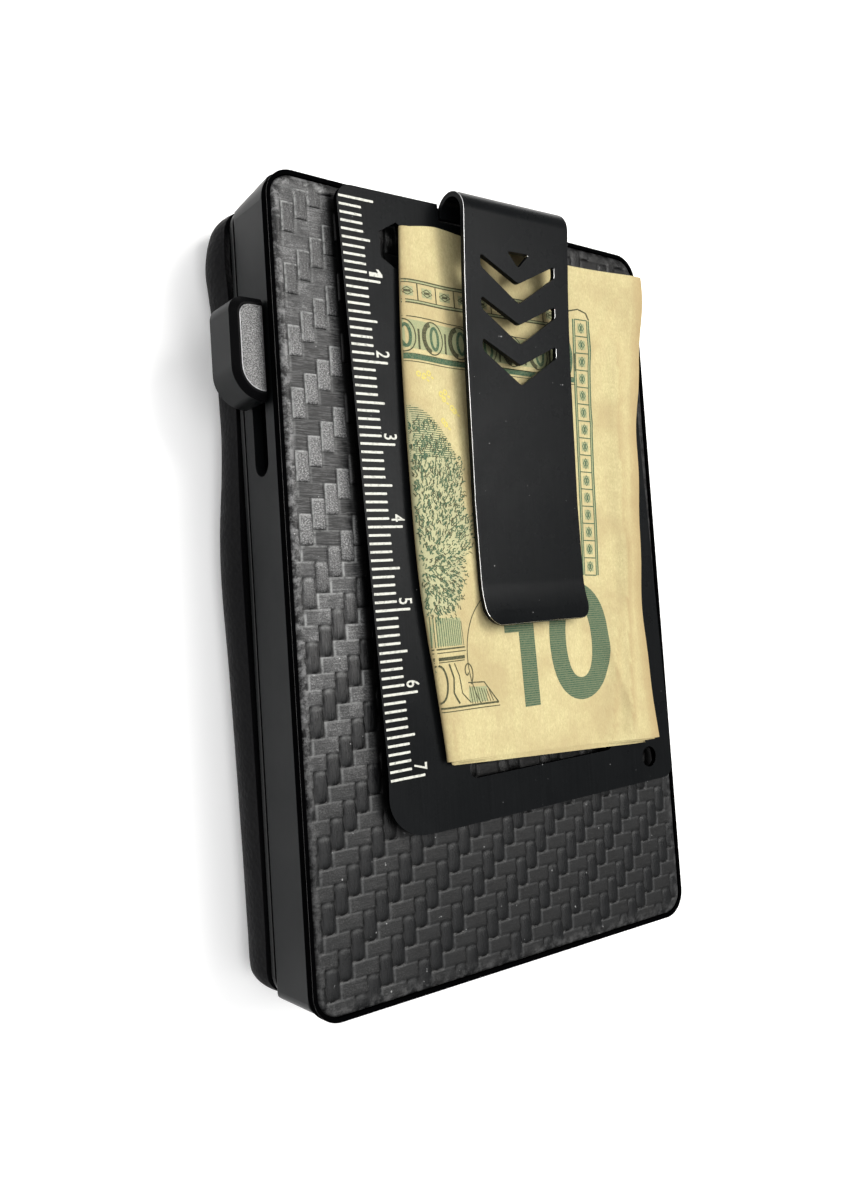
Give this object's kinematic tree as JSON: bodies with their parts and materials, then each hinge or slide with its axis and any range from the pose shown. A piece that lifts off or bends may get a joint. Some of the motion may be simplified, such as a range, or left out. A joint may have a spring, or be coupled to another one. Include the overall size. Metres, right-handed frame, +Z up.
{
  "type": "card wallet with money clip",
  "caption": "Slim card wallet: a side slider fans out the cards, a leather pocket backs it, and a ruler tool plate carries a bent sprung clip that holds folded banknotes.",
  "frame": {"origin": "middle of the underside of the whole wallet's box, level with the rear pocket that it lies on", "axes": "+Z up through the front cover and the clip, +Y along the length towards the clip's bend and the pocket's mouth, -X towards the slider"},
  "size_m": [0.0678, 0.0998, 0.0237],
  "materials": {
    "anodised_aluminium": "dark grey anodised, satin with fine scuffs",
    "black_steel": "satin black coating over brushed spring steel, worn bright at cut edges",
    "black_plastic": "matt black moulding with rubbed edges",
    "carbon_look_leather": "embossed carbon-fibre twill, semi-gloss",
    "soft_leather": "soft black grained leather",
    "grey_felt": "short felt",
    "screw_steel": "black oxide",
    "banknote_paper": null,
    "speckled_grip": "speckled grey, rough"
  },
  "bodies": {
    "case": {"case_shell": "anodised_aluminium", "rear_plate": "anodised_aluminium", "tool_plate": "black_steel", "end_cap": "black_plastic", "guide_rail_left": "black_plastic", "guide_rail_right": "black_plastic", "front_cover": "black_plastic", "plate_spacer_upper": "black_plastic", "plate_spacer_lower": "black_plastic", "front_skin": "carbon_look_leather", "pocket_shell": "soft_leather", "friction_felt_front": "grey_felt", "friction_felt_rear": "grey_felt", "pocket_lining": "grey_felt", "plate_screw_upper": "screw_steel", "plate_screw_lower": "screw_steel", "front_cover_screw_1": "screw_steel", "front_cover_screw_2": "screw_steel", "front_cover_screw_3": "screw_steel", "front_cover_screw_4": "screw_steel", "rear_plate_screw_1": "screw_steel", "rear_plate_screw_2": "screw_steel", "rear_plate_screw_3": "screw_steel", "rear_plate_screw_4": "screw_steel"},
    "slider": {"slider_button": "anodised_aluminium", "slider_grip_front": "speckled_grip", "slider_grip_rear": "speckled_grip", "slider_screw": "screw_steel", "ejector_carriage": "black_plastic"},
    "clip": {"money_clip": "black_steel"},
    "banknote": {"folded_banknote": "banknote_paper"}
  },
  "joints": [
    {"name": "slider_push", "type": "slide", "parent": "case", "child": "slider", "axis": [0, -1, 0], "range_m": [0, 0.0104]},
    {"name": "clip_spring", "type": "hinge", "parent": "case", "child": "clip", "pos_m": [0.00362, 0.04689, 0.02105], "axis": [-0.9995, -0.033, 0], "range_deg": [0, 8], "stiffness_Nm_per_rad": 2, "springref_deg": -1.15},
    {"name": "banknote_pull", "type": "slide", "parent": "case", "child": "banknote", "axis": [0.033, -0.9995, 0], "range_m": [0, 0.095]}
  ]
}
